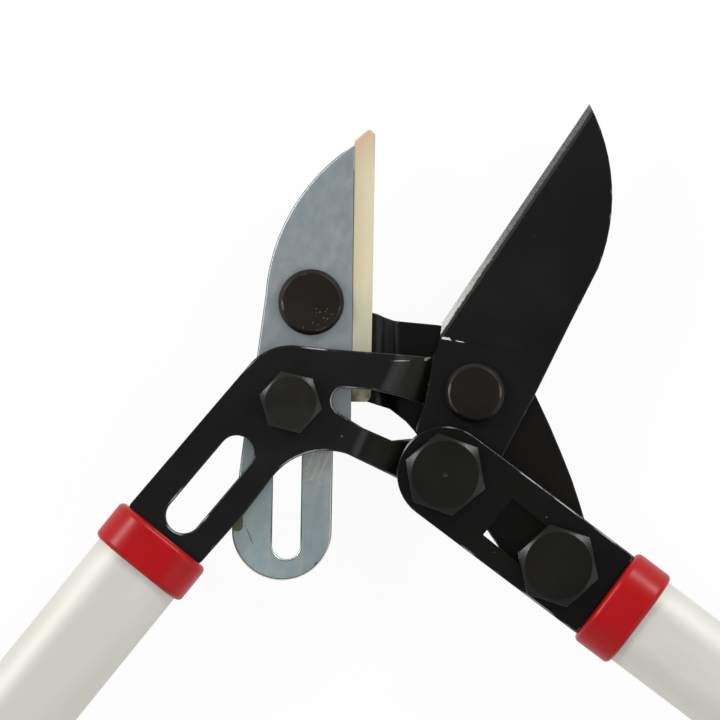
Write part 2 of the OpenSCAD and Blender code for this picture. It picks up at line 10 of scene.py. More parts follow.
import bmesh
import bpy
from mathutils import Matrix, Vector

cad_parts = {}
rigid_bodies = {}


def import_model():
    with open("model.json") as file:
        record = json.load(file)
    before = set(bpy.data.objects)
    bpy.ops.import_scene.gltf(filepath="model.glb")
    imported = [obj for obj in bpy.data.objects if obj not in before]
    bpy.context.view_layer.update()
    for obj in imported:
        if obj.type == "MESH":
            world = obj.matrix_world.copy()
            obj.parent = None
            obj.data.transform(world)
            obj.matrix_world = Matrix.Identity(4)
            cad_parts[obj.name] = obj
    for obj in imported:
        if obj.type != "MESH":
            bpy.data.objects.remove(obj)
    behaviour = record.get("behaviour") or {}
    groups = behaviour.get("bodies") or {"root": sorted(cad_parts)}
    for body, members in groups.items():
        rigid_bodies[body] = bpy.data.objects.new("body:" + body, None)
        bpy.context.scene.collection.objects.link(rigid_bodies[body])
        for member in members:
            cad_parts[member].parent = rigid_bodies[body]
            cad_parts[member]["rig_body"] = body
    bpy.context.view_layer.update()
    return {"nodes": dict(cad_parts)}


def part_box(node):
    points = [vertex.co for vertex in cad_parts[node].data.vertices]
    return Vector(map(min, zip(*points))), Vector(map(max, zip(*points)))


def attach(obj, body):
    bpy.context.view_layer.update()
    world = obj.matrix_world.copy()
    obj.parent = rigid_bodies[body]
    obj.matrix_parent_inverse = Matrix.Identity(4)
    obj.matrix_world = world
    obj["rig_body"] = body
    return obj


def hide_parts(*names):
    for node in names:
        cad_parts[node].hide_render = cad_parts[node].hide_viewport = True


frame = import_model()
nodes = frame["nodes"]
scene = bpy.context.scene
MM = 0.001

# %% [markdown]
# ## The camera
# The tool lies flat and the photograph looks straight down on its head, so the camera hangs above it.
# A long lens from far away keeps the plates' sides from showing, as in the picture. The field of view is
# the number of millimetres that one picture side covers at the height of the front plates.

# %% Camera above the head
PIXEL = 0.233 * MM
PICTURE_PIXELS = 720
PIVOT_PIXEL = (475, 393)
CAMERA_RISE = 1.6
FAR_CLIP = 20
SENSOR = 36.0
plate_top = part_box("right_plate")[1].z
field = PICTURE_PIXELS * PIXEL
half_picture = PICTURE_PIXELS / 2
aim = Vector(((half_picture - PIVOT_PIXEL[0]) * PIXEL, (PIVOT_PIXEL[1] - half_picture) * PIXEL, plate_top))
lens = bpy.data.cameras.new("camera")
lens.sensor_width = SENSOR
lens.lens = SENSOR * CAMERA_RISE / field
lens.clip_end = FAR_CLIP
camera = bpy.data.objects.new("camera", lens)
camera.location = aim + Vector((0, 0, CAMERA_RISE))
scene.collection.objects.link(camera)
scene.camera = camera
print("field of view:", round(field / MM, 1), "mm, lens:", round(lens.lens), "mm")

# %% [markdown]
# ## Shader helpers
# Every finish is a Principled shader fed by a few pattern nodes. They could be wired by hand in the shader
# editor, but a script is easier to read and to repeat. These short helpers add a node, set its sockets and
# link it, so that each material below reads as a list of decisions.


# %% Adding and linking nodes
def plug(tree, socket, value):
    """Link a socket to another, or set its value."""
    if isinstance(value, bpy.types.NodeSocket):
        tree.links.new(value, socket)
    else:
        socket.default_value = value


def add(tree, kind, inputs=None, **settings):
    """Add a node, set its properties, then set or link its inputs."""
    node = tree.nodes.new(kind)
    for name, value in settings.items():
        setattr(node, name, value)
    for name, value in (inputs or {}).items():
        plug(tree, node.inputs[name], value)
    return node


def feed(tree, shader, **sockets):
    """Set or link the shader's sockets, with underscores for spaces."""
    for name, value in sockets.items():
        plug(tree, shader.inputs[name.replace("_", " ")], value)


def new_material(name):
    """Make a material and give back it, its tree, its shader and the object's own coordinates."""
    material = bpy.data.materials.new(name)
    material.use_nodes = True
    return material, *reopen(material)


def reopen(material):
    """A material's tree and shader, and the object's own coordinates in it."""
    tree = material.node_tree
    return tree, tree.nodes["Principled BSDF"], add(tree, "ShaderNodeTexCoord").outputs["Object"]


# %% Values and masks
def calc(tree, operation, *values):
    """Combine values with one Math node."""
    return add(tree, "ShaderNodeMath", dict(enumerate(values)), operation=operation).outputs[0]


def vary(tree, pattern, middle_value, width):
    """A value that a pattern shifts by up to half a width either way."""
    return calc(tree, "MULTIPLY_ADD", pattern, width, middle_value - width / 2)


def spread(tree, value, low, high):
    """A smooth mask that rises from 0 to 1 between two limits, or falls if the first is the higher."""
    limits = {"Value": value, "From Min": low, "From Max": high}
    return add(tree, "ShaderNodeMapRange", limits, interpolation_type="SMOOTHSTEP").outputs["Result"]


def blend(tree, mask, under, over, share=None):
    """Lay one colour over another where the mask is 1, or by a share of the mask."""
    if share is not None:
        mask = calc(tree, "MULTIPLY", mask, share)
    node = add(tree, "ShaderNodeMix", data_type="RGBA")
    for name, value in (("Factor_Float", mask), ("A_Color", under), ("B_Color", over)):
        plug(tree, next(s for s in node.inputs if s.identifier == name), value)
    return next(s for s in node.outputs if s.identifier == "Result_Color")


def shade(colour, factor):
    """A colour made lighter or darker."""
    return [min(1.0, c * factor) for c in colour[:3]] + [1]


# %% Places and patterns
def split(tree, place):
    """The X, Y and Z of a place."""
    return add(tree, "ShaderNodeSeparateXYZ", {"Vector": place}).outputs


def rotate(tree, place, angle):
    """A place, turned about the Z axis."""
    made = {"Vector": place, "Angle": angle}
    return add(tree, "ShaderNodeVectorRotate", made, rotation_type="Z_AXIS").outputs[0]


def seen_from(tree, place, centre, turn):
    """A place, measured from a centre, with X along a direction."""
    moved = add(tree, "ShaderNodeVectorMath", {0: place, 1: centre}, operation="SUBTRACT").outputs[0]
    return rotate(tree, moved, -turn)


def flat_distance(tree, place, centre, turn=0.0, squeeze=1.0):
    """Distance in plan from a centre in millimetres, with the direction across the turn squeezed."""
    turned = seen_from(tree, place, Vector(centre) * MM, turn)
    flat = add(tree, "ShaderNodeVectorMath", {0: turned, 1: (1, squeeze, 0)}, operation="MULTIPLY").outputs[0]
    return add(tree, "ShaderNodeVectorMath", {0: flat}, operation="LENGTH").outputs["Value"]


def stretched(tree, place, turn, stretch):
    """The place, turned and then squeezed along Y, so that a pattern draws out along it."""
    made = {"Vector": place, "Rotation": (0, 0, -turn), "Scale": (1.0, 1.0 / stretch, 1.0)}
    return add(tree, "ShaderNodeMapping", made, vector_type="TEXTURE").outputs[0]


def noise(tree, place, scale, detail=3.0):
    """Cloudy noise with so many features to the metre."""
    return add(tree, "ShaderNodeTexNoise", {"Vector": place, "Scale": scale, "Detail": detail}).outputs[0]


def attribute(tree, name):
    """An attribute that the mesh carries on its faces."""
    return add(tree, "ShaderNodeAttribute", attribute_name=name).outputs["Fac"]


def bump(tree, height, strength, distance, under=None):
    """A normal from a height, whose distance is in metres, on top of another normal if one is given."""
    made = {"Height": height, "Strength": strength, "Distance": distance}
    if under is not None:
        made["Normal"] = under
    return add(tree, "ShaderNodeBump", made).outputs["Normal"]


# %% [markdown]
# ## Shared effects
# Four effects turn up on most of the finishes: rubbed edges, fine scratches, specks and the pebbled skin of a
# coat. They could be wired again in every material, but then a change would have to be made many times. Each
# is a node group instead, built once and placed in a material with its own amounts.


# %% A node group to fill, and its use
def new_group(name, inputs, output):
    """Make a group with a place, some float inputs and one float output."""
    group = bpy.data.node_groups.new(name, "ShaderNodeTree")
    group.interface.new_socket("Place", in_out="INPUT", socket_type="NodeSocketVector")
    for label, value in inputs.items():
        group.interface.new_socket(label, in_out="INPUT", socket_type="NodeSocketFloat").default_value = value
    group.interface.new_socket(output, in_out="OUTPUT", socket_type="NodeSocketFloat")
    start = group.nodes.new("NodeGroupInput").outputs
    end = group.nodes.new("NodeGroupOutput").inputs[0]
    return group, start, end


def use(tree, group, place, **amounts):
    """Place a group, set its amounts and give back its output."""
    node = add(tree, "ShaderNodeGroup", {}, node_tree=group)
    plug(tree, node.inputs["Place"], place)
    for name, value in amounts.items():
        node.inputs[name].default_value = value
    return node.outputs[0]


# %% [markdown]
# Paint rubs off first on the edges. The renderer could find them by their curvature, but that depends on the
# mesh, so the bevels further down leave an attribute on the faces that they make, and noise breaks it up.

# %% Rubbed edges
RUB_SOFTNESS = 0.14


def make_rubbed_edges():
    """Mask of the edges where the finish is rubbed off in patches."""
    group, start, end = new_group("rubbed edges", {"Amount": 0.5, "Scale": 400.0}, "Mask")
    patch = noise(group, start["Place"], start["Scale"], 4.0)
    low = calc(group, "SUBTRACT", 1.0, start["Amount"])
    high = calc(group, "ADD", low, RUB_SOFTNESS)
    rubbed = calc(group, "MULTIPLY", attribute(group, "edge"), spread(group, patch, low, high))
    group.links.new(rubbed, end)
    return group


rubbed_edges = make_rubbed_edges()
print("group:", rubbed_edges.name)

# %% [markdown]
# Handling leaves hairlines on metal and plastic. Noise that is stretched a long way in one direction turns
# into lines, so two directions of it are enough, and slower noise gathers them in patches.

# %% Fine scratches
SCRATCH_TURNS = (0.6, 2.4)
SCRATCH_PATCHES = 70.0


def make_scratches():
    """Hairline scratches in two directions, gathered in patches."""
    group, start, end = new_group("scratches", {"Scale": 1400.0, "Stretch": 0.02}, "Mask")
    lines = []
    for turn in SCRATCH_TURNS:
        parts = split(group, rotate(group, start["Place"], turn))
        slow = calc(group, "MULTIPLY", parts["X"], start["Stretch"])
        drawn = add(group, "ShaderNodeCombineXYZ", {"X": slow, "Y": parts["Y"], "Z": parts["Z"]}).outputs[0]
        lines.append(spread(group, noise(group, drawn, start["Scale"], 1.0), 0.68, 0.76))
    patch = spread(group, noise(group, start["Place"], SCRATCH_PATCHES), 0.48, 0.62)
    group.links.new(calc(group, "MULTIPLY", calc(group, "MAXIMUM", *lines), patch), end)
    return group


scratches = make_scratches()
print("group:", scratches.name)

# %% [markdown]
# Dust and rust show as small round specks. A Voronoi pattern puts one point in each cell, and the cell's own
# random colour picks the few that show. "Cover" fills the gaps between the patches where it is 1.

# %% Specks
SPECK_PATCHES = 55.0
SPECK_SOFTNESS = 0.03


def make_specks():
    """Small round specks, most of them left out."""
    group, start, end = new_group("specks", {"Scale": 420.0, "Size": 0.09, "Cover": 0.0}, "Mask")
    cell = add(group, "ShaderNodeTexVoronoi", {"Vector": start["Place"], "Scale": start["Scale"]}).outputs
    pick = add(group, "ShaderNodeSeparateColor", {"Color": cell["Color"]}).outputs
    wide = calc(group, "MULTIPLY", spread(group, pick[0], 0.72, 1.0), start["Size"])
    gap = calc(group, "SUBTRACT", wide, cell["Distance"])
    patch = spread(group, noise(group, start["Place"], SPECK_PATCHES), 0.45, 0.60)
    patch = calc(group, "MAXIMUM", patch, start["Cover"])
    group.links.new(calc(group, "MULTIPLY", spread(group, gap, 0.0, SPECK_SOFTNESS), patch), end)
    return group


specks = make_specks()
print("group:", specks.name)

# %% [markdown]
# Sprayed and moulded skins have a fine orange-peel. It is far smaller than a pixel, so a height from noise
# that only breaks up the highlights is enough, and the mesh stays light.


# %% Pebbled skin
def make_pebble():
    """Height of the fine orange-peel that a sprayed or moulded skin has."""
    group, start, end = new_group("pebble", {"Scale": 1500.0}, "Height")
    group.links.new(noise(group, start["Place"], start["Scale"], 2.0), end)
    return group


pebble = make_pebble()
print("group:", pebble.name)

# %% [markdown]
# ## Black coated steel
# The lever plates carry a satin black coat with a faint pebble, a few dust specks and pale rubs along the
# edges. It could be one flat black, but then flat steel would look like a hole in the picture, so slow clouds
# shift its tone and its gloss. One function with its own amounts gives the plates, the bolts and the sleeves.


# %% Black coats
def black_coat(name, colour, rub, roughness, wear):
    """Satin black coat with rubbed edges and specks."""
    material, tree, shader, place = new_material(name)
    cloud = noise(tree, place, 60.0, 5.0)
    base = blend(tree, spread(tree, cloud, 0.3, 0.75), colour, shade(colour, 1.8))
    base = blend(tree, use(tree, specks, place), base, rub, share=0.6)
    worn = use(tree, rubbed_edges, place, Amount=wear, Scale=110.0)
    skin = bump(tree, use(tree, pebble, place), 0.10, 0.08 * MM)
    feed(tree, shader, Base_Color=blend(tree, worn, base, rub), Roughness=vary(tree, cloud, roughness, 0.22))
    feed(tree, shader, Normal=skin, Specular_IOR_Level=0.25)
    return material


PALE_RUB, BROWN_RUB, GREY_RUB = (0.30, 0.30, 0.31, 1), (0.20, 0.17, 0.15, 1), (0.05, 0.05, 0.05, 1)
left_coat = black_coat("left plate coat", (0.0050, 0.0050, 0.0049, 1), PALE_RUB, 0.27, 0.50)
right_coat = black_coat("right plate coat", (0.0026, 0.0022, 0.0019, 1), PALE_RUB, 0.27, 0.52)
lever_coat = black_coat("lever coat", (0.0032, 0.0026, 0.0021, 1), PALE_RUB, 0.28, 0.40)
bolt_black = black_coat("bolt black", (0.0042, 0.0039, 0.0034, 1), BROWN_RUB, 0.31, 0.45)
pin_black = black_coat("pin black", (0.0056, 0.0041, 0.0032, 1), BROWN_RUB, 0.38, 0.43)
guide_black = black_coat("guide bolt black", (0.0090, 0.0086, 0.0070, 1), BROWN_RUB, 0.33, 0.45)
rivet_black = black_coat("rivet black", (0.0078, 0.0056, 0.0040, 1), BROWN_RUB, 0.38, 0.43)
sleeve_black = black_coat("sleeve plastic", (0.02, 0.02, 0.02, 1), GREY_RUB, 0.5, 0.2)
print("black coats made")

# %% [markdown]
# The large pivot bolt shows the small cone that a lathe's centre left in its head. It could be cut into the
# mesh, but it is about a millimetre wide on a flat face, so a height that falls toward its middle is enough.
# The small guide bolt shows the rings that the lathe's tool left, which are a wave of the same distance.

# %% Centre mark and turned rings
RING_SHINE = 0.05
CENTRE_RADIUS, CENTRE_DEPTH, CENTRE_STRENGTH = 0.6 * MM, 0.35 * MM, 1.0
RING_PITCH, RING_DEPTH, RING_STRENGTH = 0.7 * MM, 0.02 * MM, 0.2


def input_link(shader, name):
    """What feeds one of the shader's sockets."""
    return shader.inputs[name].links[0].from_socket


def centre_mark(material, centre):
    """Press a small cone into a finish, on top of the bump it has."""
    tree, shader, place = reopen(material)
    height = spread(tree, flat_distance(tree, place, centre), 0.0, CENTRE_RADIUS)
    under = input_link(shader, "Normal")
    feed(tree, shader, Normal=bump(tree, height, CENTRE_STRENGTH, CENTRE_DEPTH, under))


def turned_rings(material, centre):
    """Cut the fine rings of a lathe into a finish, on top of the bump it has."""
    tree, shader, place = reopen(material)
    turns = calc(tree, "MULTIPLY", flat_distance(tree, place, centre), math.tau / RING_PITCH)
    wave = calc(tree, "SINE", turns)
    under = input_link(shader, "Normal")
    feed(tree, shader, Normal=bump(tree, wave, RING_STRENGTH, RING_DEPTH, under))
    patch = calc(tree, "MULTIPLY", spread(tree, noise(tree, place, 260.0), 0.45, 0.70), RING_SHINE)
    crest = calc(tree, "MULTIPLY", spread(tree, wave, 0.0, 1.0), patch)
    feed(tree, shader, Base_Color=blend(tree, crest, input_link(shader, "Base Color"), BROWN_RUB))


HANDLE_PIVOT, GUIDE = (-7.0, -18.9, 0), (-42.9, -2.1, 0)
pivot_bolt_black = bolt_black.copy()
pivot_bolt_black.name = "pivot bolt black"
centre_mark(pivot_bolt_black, HANDLE_PIVOT)
turned_rings(guide_black, GUIDE)
print("centre mark at", HANDLE_PIVOT, "rings round", GUIDE)

# %% [markdown]
# ## The blade
# The blade's black coat is ground away along its cutting edge, and chips of bare metal lie where its heel
# rubs. An image could be painted for it, but marks that are placed by their position in the solid need none,
# and they stay with the blade when it turns. A mark is a long spot whose border noise makes ragged.

# %% Chips and rub marks
CHIP_RAGGED, CHIP_SOFT = 1.6, 0.25


def chip_mask(tree, place, centre, turn, half_length, half_width):
    """Mask of a long ragged mark, with its sizes in millimetres."""
    far = flat_distance(tree, place, centre, turn, half_length / half_width)
    ragged = vary(tree, noise(tree, place, 1300.0), 0.0, CHIP_RAGGED * half_length * MM)
    gap = calc(tree, "SUBTRACT", half_length * MM, calc(tree, "ADD", far, ragged))
    return spread(tree, gap, 0.0, CHIP_SOFT * half_length * MM)


# %% [markdown]
# For the ground strip we turn the object's coordinates so that one axis runs along the cutting edge. Then the
# distance from the edge is one number, and the strip's border is a limit on it.

# %% Bare steel
EDGE_HEEL = Vector((-7.55, 16.51, 0)) * MM
EDGE_TURN = math.radians(56)
BARE_WIDTH = 1.3 * MM
BARE_SOFT = (0.15 * MM, 0.2 * MM)
BARE_WANDER = 0.7 * MM
DARKENING = (-4 * MM, 34 * MM)
# Painted reflection: the bare steel is laid lighter at the heel and darker toward the tip.
HEEL_STEEL_SHEEN, STEEL_TIP, STEEL_GRIT = (0.40, 0.39, 0.37, 1), (0.11, 0.11, 0.11, 1), (0.03, 0.03, 0.03, 1)


def bare_steel(tree, place, parts):
    """Mask and colour of the ground strip, with a painted reflection: lighter at the heel, darker toward the
    tip.
    """
    across = calc(tree, "ADD", parts["Y"], vary(tree, noise(tree, place, 900.0), 0.0, BARE_WANDER))
    bare = spread(tree, across, -BARE_WIDTH - BARE_SOFT[0], -BARE_WIDTH + BARE_SOFT[1])
    toward_tip = spread(tree, parts["X"], *DARKENING)
    grit = spread(tree, noise(tree, place, 3600.0), 0.42, 0.60)
    grit = calc(tree, "MULTIPLY", grit, calc(tree, "MULTIPLY_ADD", toward_tip, 0.5, 0.2))
    return bare, blend(tree, grit, blend(tree, toward_tip, HEEL_STEEL_SHEEN, STEEL_TIP), STEEL_GRIT)


# %% Blade finish
BLADE_CHIPS = (((-6.5, 12.7, 0), -0.15, 1.3, 0.35),
               ((-3.4, 12.0, 0), -0.2, 1.2, 0.12),
               ((-10.6, 8.4, 0), 0.3, 1.0, 0.35))
CHIP_STEEL = (0.62, 0.60, 0.57, 1)
BLADE_BLACK, BLADE_BROWN = (0.0036, 0.0036, 0.0036, 1), (0.0054, 0.0049, 0.0045, 1)


def blade_coat():
    """Black coat, ground back to bare steel along the cutting edge."""
    material, tree, shader, place = new_material("blade coat")
    along = seen_from(tree, place, EDGE_HEEL, EDGE_TURN)
    bare, steel = bare_steel(tree, place, split(tree, along))
    cloud = noise(tree, place, 55.0, 5.0)
    coat = blend(tree, spread(tree, cloud, 0.35, 0.7), BLADE_BLACK, BLADE_BROWN)
    coat = blend(tree, use(tree, specks, place), coat, BROWN_RUB, share=0.5)
    coat = blend(tree, use(tree, rubbed_edges, place, Amount=0.42, Scale=300.0), coat, BROWN_RUB)
    for chip in BLADE_CHIPS:
        coat = blend(tree, chip_mask(tree, place, *chip), coat, CHIP_STEEL)
    feed(tree, shader, Base_Color=blend(tree, bare, coat, steel), Metallic=calc(tree, "MULTIPLY", bare, 0.8))
    feed(tree, shader, Roughness=vary(tree, cloud, 0.36, 0.22), Specular_IOR_Level=0.22)
    feed(tree, shader, Normal=bump(tree, noise(tree, along, 1600.0, 1.0), 0.10, 0.06 * MM))
    return material


blade_finish = blade_coat()
print("blade finish: bare steel", round(BARE_WIDTH / MM, 1), "mm wide")

# %% [markdown]
# ## Painted sheen, chips and rust
# The left plate's slope, where it steps down behind the blade, carries a painted sheen that is lighter than
# its coat, and its upper edge is chipped. The anvil rivet's head has rust in one part. These could be
# separate materials, but each is the coat that we have with one more layer, so we take up the finished
# material and lay the layer over it.

# %% Painted sheen, chips and rust
LEFT_BENDS = (Vector((-19.106, -4.194, 0)) * MM, math.radians(-25.08), 8 * MM)
SLOPE_SHEEN = (0.026, 0.026, 0.021, 1)
SHEEN_RISE, SHEEN_FALL = (-0.5, 0.1), (0.75, 0.35)
ARM_CHIPS = (((-17.2, 7.5, 0), 0.02, 1.9, 0.14), ((-11.0, 8.0, 0), 0.45, 1.0, 0.4))
RUST = (0.135, 0.105, 0.078, 1)
RIVET_RUST = ((-36.6, 17.6, 0), 0.35, 4.2, 2.2)


def sheen_and_chip_slope(material, start, turn, run):
    """Lay a painted sheen on a plate's slope, lighter than its coat, and chips of bare metal beside it."""
    tree, shader, place = reopen(material)
    along = split(tree, seen_from(tree, place, start, turn))["X"]
    # Painted sheen: the slope is laid lighter, as if light caught it.
    rise, fall = (spread(tree, along, a * run, b * run) for a, b in (SHEEN_RISE, SHEEN_FALL))
    base = blend(tree, calc(tree, "MULTIPLY", rise, fall), input_link(shader, "Base Color"), SLOPE_SHEEN)
    for chip in ARM_CHIPS:
        base = blend(tree, chip_mask(tree, place, *chip), base, CHIP_STEEL, share=0.6)
    feed(tree, shader, Base_Color=base)


def rust_patch(material, zone):
    """Gather fine rust specks in one part of a finish."""
    tree, shader, place = reopen(material)
    fine = use(tree, specks, place, Scale=2300.0, Size=0.6, Cover=1.0)
    rusty = calc(tree, "MULTIPLY", fine, chip_mask(tree, place, *zone))
    feed(tree, shader, Base_Color=blend(tree, rusty, input_link(shader, "Base Color"), RUST, share=0.7))


sheen_and_chip_slope(left_coat, *LEFT_BENDS)
rust_patch(rivet_black, RIVET_RUST)
print("film on", left_coat.name, "and rust on", rivet_black.name)

# %% [markdown]
# ## Zinc plate
# The anvil plate is zinc-plated sheet: a bluish grey with mottled clouds and faint yellow streaks along its
# length. Its rim has painted shade on its steep side and a painted highlight inside it. At its foot this
# turns
# round: a painted highlight outside and a dark line of tarnish and painted shade inside. The foot's tint is
# painted lighter at its left and darker at its right, and a painted shadow lies beside the glide pad. Where
# the left plate and the glide pad slide over it, the plating is scratched. A photograph of zinc could be
# wrapped on it, but the streaks are only noise that is drawn out, so nodes do it all.

# %% Zinc plating
ZINC_COOL, ZINC_WARM, ZINC_GRIT = (0.49, 0.565, 0.60, 1), (0.54, 0.595, 0.605, 1), (0.22, 0.27, 0.30, 1)
ZINC_STREAK = (0.72, 0.71, 0.62, 1)
FOOT_PAINTED_LIGHT, FOOT_PAINTED_SHADE = (0.62, 0.86, 0.89, 1), (0.38, 0.52, 0.57, 1)
FOOT_RUN, FOOT_SPAN = (0.0, -32 * MM), (-54 * MM, -32 * MM)


def zinc_plating(tree, place, cloud, streak):
    """Cool and warm clouds, a foot tinted with painted light that is lighter at its left and darker at its
    right, streaks and a fine grit.
    """
    parts = split(tree, place)
    low = spread(tree, parts["Y"], *FOOT_RUN)
    # Painted light: the foot is tinted lighter at its left and darker at its right.
    foot = blend(tree, spread(tree, parts["X"], *FOOT_SPAN), FOOT_PAINTED_LIGHT, FOOT_PAINTED_SHADE)
    colour = blend(tree, spread(tree, cloud, 0.35, 0.70), ZINC_COOL, ZINC_WARM)
    colour = blend(tree, low, colour, foot, share=0.45)
    more = calc(tree, "MULTIPLY_ADD", low, 0.28, 0.12)
    colour = blend(tree, calc(tree, "MULTIPLY", spread(tree, streak, 0.45, 0.65), more), colour, ZINC_STREAK)
    grit = noise(tree, stretched(tree, place, 0.9, 0.5), 2400.0, 3.0)
    return blend(tree, grit, colour, ZINC_GRIT, share=0.34)


# %% Marks on the zinc
SLIDE_ZONE = ((-36.4, -16.0, 0), math.radians(82), 6.0, 3.6)
SLIDE_TINT, ZINC_SCRATCH = (0.68, 0.65, 0.57, 1), (0.86, 0.86, 0.84, 1)
SLIDE_LEAN = math.radians(24)
SAP_PLACE, SAP_TURN, SAP_SLIM = (-37.8, -22.0, 0), math.radians(88), 5.0
SAP_LENGTH, SAP_TINT = 11 * MM, (0.60, 0.50, 0.36, 1)
PAD_SHADOW, PAD_SHADOW_TINT = ((-52.5, -33.6, 0), math.radians(-67), 2.7, 0.22), (0.12, 0.15, 0.18, 1)
RUST_SPOT = ((-37.1, -39.8, 0), 0.8, 0.5, 0.3)


def zinc_marks(tree, place, streak, colour):
    """Scratches and sap where plates slide, a painted shadow beside the pad and a spot of rust."""
    slid = chip_mask(tree, place, *SLIDE_ZONE)
    hairs = spread(tree, noise(tree, stretched(tree, place, SLIDE_LEAN, 0.06), 2600.0, 2.0), 0.52, 0.64)
    sap = spread(tree, flat_distance(tree, place, SAP_PLACE, SAP_TURN, SAP_SLIM), SAP_LENGTH, SAP_LENGTH / 5)
    sap = calc(tree, "MULTIPLY", sap, spread(tree, streak, 0.35, 0.70))
    colour = blend(tree, slid, colour, SLIDE_TINT, share=0.45)
    colour = blend(tree, sap, colour, SAP_TINT, share=0.75)
    colour = blend(tree, calc(tree, "MULTIPLY", hairs, slid), colour, ZINC_SCRATCH, share=0.5)
    # Painted shadow: a dark strip on the zinc beside the glide pad.
    colour = blend(tree, chip_mask(tree, place, *PAD_SHADOW), colour, PAD_SHADOW_TINT, share=0.6)
    return blend(tree, chip_mask(tree, place, *RUST_SPOT), colour, RUST)


# %% Zinc rim and finish
ZINC_EDGE_HIGHLIGHT, ZINC_SIDE_SHADE = (0.68, 0.71, 0.72, 1), (0.20, 0.23, 0.25, 1)
TARNISH_AND_SHADE, FOOT_RIM_HIGHLIGHT = (0.10, 0.075, 0.05, 1), (0.66, 0.66, 0.62, 1)
RIM_CHANGE = (-33 * MM, -38 * MM)


def zinc_finish():
    """Zinc plating with its marks, and its rim with painted highlight and painted shade."""
    material, tree, shader, place = new_material("zinc plate")
    cloud = noise(tree, stretched(tree, place, 0.3, 0.6), 420.0, 8.0)
    streak = noise(tree, stretched(tree, place, 0.05, 0.06), 420.0, 3.0)
    colour = zinc_marks(tree, place, streak, zinc_plating(tree, place, cloud, streak))
    # Painted highlight and shade on the rim: a bright line on the bevel's upper faces and painted shade on
    # its steep faces. At the foot, the upper faces get tarnish with painted shade and the steep faces get a
    # painted highlight.
    at_foot = spread(tree, split(tree, place)["Y"], *RIM_CHANGE)
    rim, wall = blend(tree, at_foot, ZINC_EDGE_HIGHLIGHT, TARNISH_AND_SHADE), blend(tree, at_foot, ZINC_SIDE_SHADE, FOOT_RIM_HIGHLIGHT)
    colour = blend(tree, use(tree, rubbed_edges, place, Amount=0.75, Scale=120.0), colour, rim)
    colour = blend(tree, attribute(tree, "side"), colour, wall)
    feed(tree, shader, Base_Color=colour, Metallic=1.0, Roughness=vary(tree, cloud, 0.44, 0.14))
    feed(tree, shader, Normal=bump(tree, noise(tree, place, 1800.0, 2.0), 0.10, 0.04 * MM))
    return material


zinc = zinc_finish()
print("zinc scratched at", SLIDE_ZONE[0])

# %% [markdown]
# ## Aluminium and plated steel
# The tubes are satin anodised aluminium: pale, slightly warm, with a fine grain drawn along them. The nuts
# and the washer are plain plated steel. Each could have its own nodes, but they differ only in tint, gloss
# and the direction of the grain. So one function makes all of them, and a mapping turns the grain along
# each tube.


# %% Drawn metals
def drawn_metal(name, cool, warm, roughness, turn, metallic):
    """Anodised or plated metal with soft clouds of tint and a fine drawn grain."""
    material, tree, shader, place = new_material(name)
    grain = noise(tree, stretched(tree, place, turn, 0.03), 2600.0, 2.0)
    cloud = noise(tree, stretched(tree, place, turn, 0.25), 120.0, 5.0)
    colour = blend(tree, spread(tree, cloud, 0.38, 0.66), cool, warm)
    colour = blend(tree, use(tree, scratches, place), colour, shade(cool, 0.75), share=0.12)
    colour = blend(tree, use(tree, rubbed_edges, place, Amount=0.4, Scale=200.0), colour, shade(warm, 1.15))
    feed(tree, shader, Base_Color=colour, Metallic=metallic, Roughness=vary(tree, cloud, roughness, 0.14))
    feed(tree, shader, Normal=bump(tree, grain, 0.05, 0.03 * MM))
    return material


STEEL_COOL, STEEL_WARM = (0.52, 0.53, 0.55, 1), (0.58, 0.57, 0.54, 1)
TUBE_COOL, TUBE_WARM = (0.64, 0.63, 0.57, 1), (0.67, 0.66, 0.61, 1)
HANDLE_TURN = {"left": math.radians(231), "right": math.radians(-37)}
QUARTER = math.radians(90)
plated_steel = drawn_metal("plated steel", STEEL_COOL, STEEL_WARM, 0.36, 0.0, 1.0)
aluminium = {}
for side, turn in HANDLE_TURN.items():
    grain_turn = QUARTER - turn
    aluminium[side] = drawn_metal(side + " tube aluminium", TUBE_COOL, TUBE_WARM, 0.60, grain_turn, 0.35)
print("metals:", plated_steel.name, [m.name for m in aluminium.values()])

# %% [markdown]
# ## The cream insert and the olive pad
# Both are nylon, a waxy plastic that lets a little light in. The insert is tan along the plate and paler at
# its face, pink at its nose, greyer and darker in its lower part with painted shade, and browned by sap at
# its foot. It could be one cream, but the tints other than the painted shade tell its age. Each is laid over
# the last by how far a point lies along or across the piece, with slow noise to keep the borders soft.

# %% Nylon
FACE_LEAN = math.radians(1)
SEAM_WIDTH, NOSE_TINT, NOSE_PAST, LOW_SHADE, FOOT_STAIN = 0.7 * MM, 14 * MM, 2 * MM, 30 * MM, 3.2 * MM
LONG_WANDER, CROSS_WANDER = 12 * MM, 1.6 * MM
LIGHT_REACH = (2 * MM, 1.4 * MM, 0.7 * MM)


